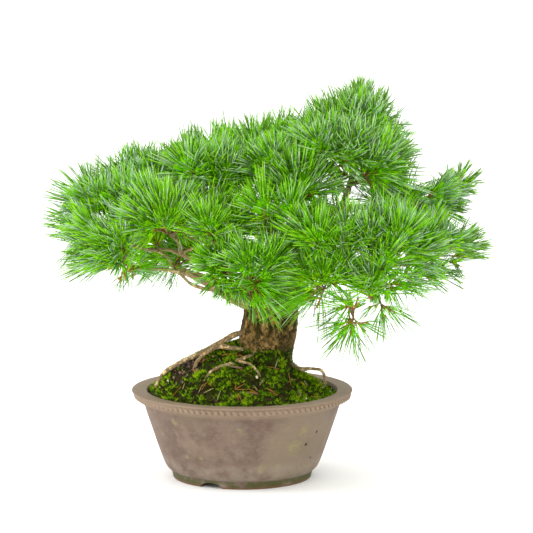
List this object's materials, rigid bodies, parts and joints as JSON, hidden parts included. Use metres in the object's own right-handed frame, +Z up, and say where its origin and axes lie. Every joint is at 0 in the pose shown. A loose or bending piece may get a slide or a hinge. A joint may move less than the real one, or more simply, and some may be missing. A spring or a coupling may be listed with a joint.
{
  "type": "potted japanese white pine bonsai",
  "caption": "Small bonsai pine with a thick tapering trunk, layered pads of needles and a mossy mound, in a round stoneware pot with a roped lip.",
  "frame": {"origin": "on the ground at the middle of the whole plant's box, which is just beside the foot of the trunk", "axes": "+Z up, +X to the viewer's right along the spread of the longest boughs, +Y away from the viewer, who looks at the plant's best side"},
  "size_m": [0.457, 0.2982, 0.406],
  "materials": {
    "stoneware": "matte",
    "mossy_soil": "matte",
    "pine_bark": "matte",
    "pine_needles": "satin"
  },
  "bodies": {
    "root": {"bough_apex_back": "pine_bark", "bough_apex_left": "pine_bark", "bough_apex_right": "pine_bark", "bough_back": "pine_bark", "bough_centre": "pine_bark", "bough_centre_left": "pine_bark", "bough_droop_left": "pine_bark", "bough_droop_right": "pine_bark", "bough_front": "pine_bark", "bough_front_mid": "pine_bark", "bough_front_right": "pine_bark", "bough_left_back": "pine_bark", "bough_left_front": "pine_bark", "bough_left_high": "pine_bark", "bough_left_low": "pine_bark", "bough_left_top": "pine_bark", "bough_right_back": "pine_bark", "bough_right_high": "pine_bark", "bough_right_low": "pine_bark", "bough_right_low_back": "pine_bark", "bough_upper_centre": "pine_bark", "bough_upper_centre_back": "pine_bark", "bough_upper_left": "pine_bark", "bough_upper_left_back": "pine_bark", "needles_apex": "pine_needles", "needles_apex_back": "pine_needles", "needles_apex_left": "pine_needles", "needles_apex_right": "pine_needles", "needles_back": "pine_needles", "needles_centre": "pine_needles", "needles_centre_left": "pine_needles", "needles_droop_left": "pine_needles", "needles_droop_right": "pine_needles", "needles_front": "pine_needles", "needles_front_mid": "pine_needles", "needles_front_right": "pine_needles", "needles_left_back": "pine_needles", "needles_left_front": "pine_needles", "needles_left_high": "pine_needles", "needles_left_low": "pine_needles", "needles_left_top": "pine_needles", "needles_right_back": "pine_needles", "needles_right_high": "pine_needles", "needles_right_low": "pine_needles", "needles_right_low_back": "pine_needles", "needles_upper_centre": "pine_needles", "needles_upper_centre_back": "pine_needles", "needles_upper_left": "pine_needles", "needles_upper_left_back": "pine_needles", "pot": "stoneware", "root_back": "pine_bark", "root_front": "pine_bark", "root_front_left": "pine_bark", "root_left": "pine_bark", "root_left_front": "pine_bark", "root_right": "pine_bark", "soil": "mossy_soil", "trunk": "pine_bark"}
  },
  "joints": []
}
